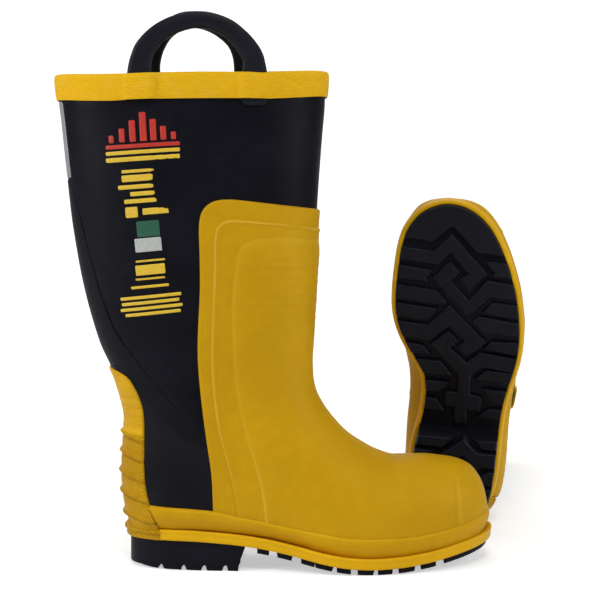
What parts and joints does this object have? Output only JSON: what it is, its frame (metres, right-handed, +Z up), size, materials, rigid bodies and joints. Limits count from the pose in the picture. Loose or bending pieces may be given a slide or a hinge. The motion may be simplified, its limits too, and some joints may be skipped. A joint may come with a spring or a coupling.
{
  "type": "fire boots",
  "caption": "Tall pull-on rubber fire boots with yellow toe and shin guard, ribbed heel counter, lugged sole and loop handles; one stands, the other lies on its back.",
  "frame": {"origin": "middle of the rear heel lug's ground face on the standing right boot", "axes": "+X from heel to toe of the standing boot, +Y towards its inner side, +Z up; the lying left boot's leg runs along +Y"},
  "size_m": [0.4683, 0.5935, 0.4589],
  "materials": {
    "black_rubber": "satin moulded rubber, slightly bluish black",
    "handle_rubber": "satin moulded rubber",
    "tread_rubber": "matt, finely speckled, shiny edges",
    "yellow_rubber": "satin golden-yellow rubber",
    "yellow_tape": "woven rubber-coated tape, fine ribs along its length",
    "foam": "matt foam",
    "foam_filler": "matt filler rubber",
    "lining_textile": "cream knitted lining",
    "insole_felt": "grey felt",
    "fibre_board": "pressed fibre board",
    "steel": "brushed",
    "reflective_tape": "silver-grey reflective tape",
    "print_film": null
  },
  "bodies": {
    "right_boot": {"r_shaft": "black_rubber", "r_shin_pad": "foam", "r_overlay": "yellow_rubber", "r_quarter": "black_rubber", "r_foxing": "yellow_rubber", "r_toe_cap": "steel", "r_toe_bumper": "tread_rubber", "r_heel_counter": "fibre_board", "r_lining": "lining_textile", "r_outsole": "tread_rubber", "r_welt": "yellow_rubber", "r_heel_strip": "yellow_rubber", "r_shank": "steel", "r_mid_fill": "foam_filler", "r_heel_core": "foam_filler", "r_plate": "steel", "r_insole_board": "fibre_board", "r_binding": "yellow_tape", "r_root_out_rear": "handle_rubber", "r_root_out_front": "handle_rubber", "r_root_in_rear": "handle_rubber", "r_root_in_front": "handle_rubber", "r_patch": "reflective_tape", "r_emblem": "print_film", "r_info_panel": "print_film"},
    "r_insole_body": {"r_insole": "insole_felt"},
    "r_outer_handle": {"r_handle_out": "handle_rubber"},
    "r_inner_handle": {"r_handle_in": "handle_rubber"},
    "left_boot": {"l_shaft": "black_rubber", "l_shin_pad": "foam", "l_overlay": "yellow_rubber", "l_quarter": "black_rubber", "l_foxing": "yellow_rubber", "l_toe_cap": "steel", "l_toe_bumper": "tread_rubber", "l_heel_counter": "fibre_board", "l_lining": "lining_textile", "l_outsole": "tread_rubber", "l_welt": "yellow_rubber", "l_heel_strip": "yellow_rubber", "l_shank": "steel", "l_mid_fill": "foam_filler", "l_heel_core": "foam_filler", "l_plate": "steel", "l_insole_board": "fibre_board", "l_binding": "yellow_tape", "l_root_out_rear": "handle_rubber", "l_root_out_front": "handle_rubber", "l_root_in_rear": "handle_rubber", "l_root_in_front": "handle_rubber", "l_patch": "reflective_tape", "l_emblem": "print_film", "l_info_panel": "print_film"},
    "l_insole_body": {"l_insole": "insole_felt"},
    "l_outer_handle": {"l_handle_out": "handle_rubber"},
    "l_inner_handle": {"l_handle_in": "handle_rubber"}
  },
  "joints": [
    {"name": "left_boot_lift", "type": "slide", "parent": "right_boot", "child": "left_boot", "axis": [0, 0, 1], "range_m": [0, 0.47]},
    {"name": "r_outer_handle_bend", "type": "hinge", "parent": "right_boot", "child": "r_outer_handle", "pos_m": [0.047, -0.052, 0.4095], "axis": [1, 0, 0], "range_deg": [-35, 35]},
    {"name": "r_inner_handle_bend", "type": "hinge", "parent": "right_boot", "child": "r_inner_handle", "pos_m": [0.047, 0.052, 0.4095], "axis": [1, 0, 0], "range_deg": [-35, 35]},
    {"name": "r_insole_lift", "type": "slide", "parent": "right_boot", "child": "r_insole_body", "axis": [0, 0, 1], "range_m": [0, 0.005]},
    {"name": "l_outer_handle_bend", "type": "hinge", "parent": "left_boot", "child": "l_outer_handle", "pos_m": [0.3846, 0.47049, 0.12313], "axis": [0.0244, -0.1756, 0.9842], "range_deg": [-35, 35]},
    {"name": "l_inner_handle_bend", "type": "hinge", "parent": "left_boot", "child": "l_inner_handle", "pos_m": [0.28202, 0.48674, 0.12857], "axis": [0.0244, -0.1756, 0.9842], "range_deg": [-35, 35]},
    {"name": "l_insole_lift", "type": "slide", "parent": "left_boot", "child": "l_insole_body", "axis": [0.1629, 0.972, 0.1694], "range_m": [0, 0.005]}
  ]
}
